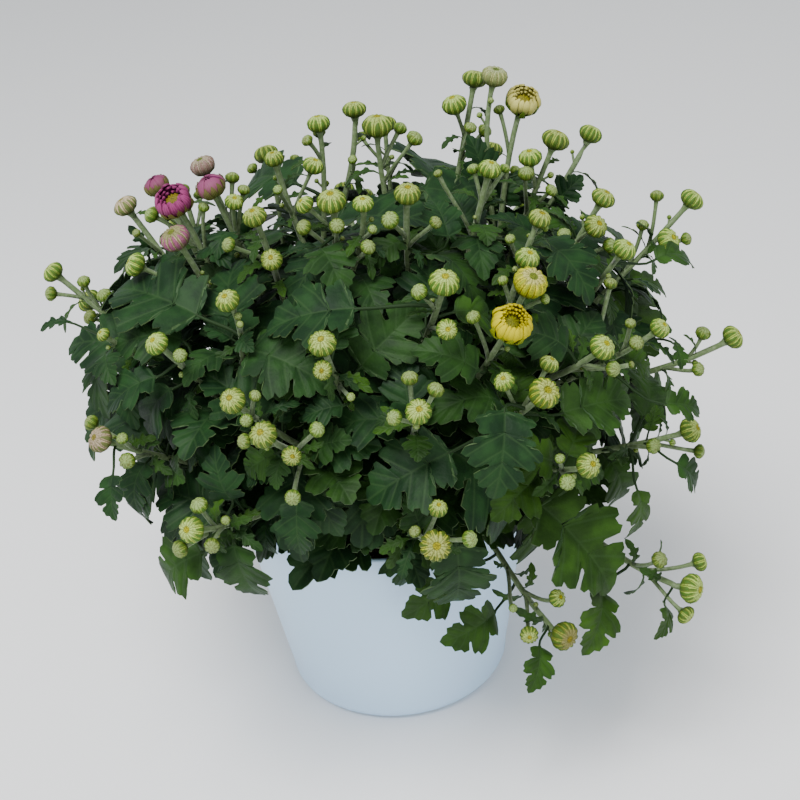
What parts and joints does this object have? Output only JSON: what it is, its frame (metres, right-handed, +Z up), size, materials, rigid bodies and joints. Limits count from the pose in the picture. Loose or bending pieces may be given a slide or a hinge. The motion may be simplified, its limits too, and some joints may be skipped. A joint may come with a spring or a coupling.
{
  "type": "pot chrysanthemum",
  "caption": "Bushy pot chrysanthemum in bud, dark lobed leaves and small green, pink and yellow buds, growing in a plain white tapered plastic pot.",
  "frame": {"origin": "centre of the flat pad under the pot's base, which stands on the floor", "axes": "+Z up through the pot's axis, -Y towards the side the picture was taken from, +X to its right"},
  "size_m": [0.3055, 0.3065, 0.291],
  "materials": {
    "white_plastic": "satin moulded white",
    "peat": "crumbly brown growing medium",
    "woody_stem": "matte green-brown bark",
    "green_leaf": "matte dark green leaf",
    "magenta_petals": "matte ribbed petals",
    "pink_petals": "matte ribbed petals",
    "rose_petals": "matte ribbed petals",
    "blush_petals": "matte ribbed petals",
    "striped_pink_petals": "matte ribbed petals",
    "lemon_petals": "matte ribbed petals",
    "cream_green_petals": "matte ribbed petals",
    "yellow_petals": "matte ribbed petals",
    "soft_yellow_petals": "matte ribbed petals",
    "lime_petals": "matte ribbed petals",
    "cream_petals": "matte ribbed petals",
    "pale_cream_petals": "matte ribbed petals"
  },
  "bodies": {
    "root": {"pot": "white_plastic", "growing_medium": "peat", "cutting_1": "woody_stem", "cutting_2": "woody_stem", "cutting_3": "woody_stem", "cutting_4": "woody_stem", "cutting_5": "woody_stem", "cutting_6": "woody_stem", "leafy_stem_01": "green_leaf", "leafy_stem_02": "green_leaf", "leafy_stem_03": "green_leaf", "leafy_stem_04": "green_leaf", "leafy_stem_05": "green_leaf", "leafy_stem_06": "green_leaf", "leafy_stem_07": "green_leaf", "leafy_stem_08": "green_leaf", "leafy_stem_09": "green_leaf", "leafy_stem_10": "green_leaf", "leafy_stem_11": "green_leaf", "leafy_stem_12": "green_leaf", "leafy_stem_13": "green_leaf", "leafy_stem_14": "green_leaf", "leafy_stem_15": "green_leaf", "leafy_stem_16": "green_leaf", "leafy_stem_17": "green_leaf", "leafy_stem_18": "green_leaf", "leafy_stem_19": "green_leaf", "leafy_stem_20": "green_leaf", "leafy_stem_21": "green_leaf", "leafy_stem_22": "green_leaf", "leafy_stem_23": "green_leaf", "leafy_stem_24": "green_leaf", "leafy_stem_25": "green_leaf", "leafy_stem_26": "green_leaf", "leafy_stem_27": "green_leaf", "leafy_stem_28": "green_leaf", "leafy_stem_29": "green_leaf", "leafy_stem_30": "green_leaf", "leafy_stem_31": "green_leaf", "leafy_stem_32": "green_leaf", "leafy_stem_33": "green_leaf", "leafy_stem_34": "green_leaf", "leafy_stem_35": "green_leaf", "leafy_stem_36": "green_leaf", "leafy_stem_37": "green_leaf", "leafy_stem_38": "green_leaf", "bloom_magenta": "magenta_petals", "bloom_pink": "pink_petals", "bloom_rose": "rose_petals", "bloom_blush": "blush_petals", "bloom_striped_pink": "striped_pink_petals", "bloom_lemon": "lemon_petals", "bloom_cream_green": "cream_green_petals", "bloom_yellow": "yellow_petals", "bloom_soft_yellow": "soft_yellow_petals", "bloom_lime": "lime_petals", "bloom_cream": "cream_petals", "bloom_pale_cream": "pale_cream_petals"}
  },
  "joints": []
}
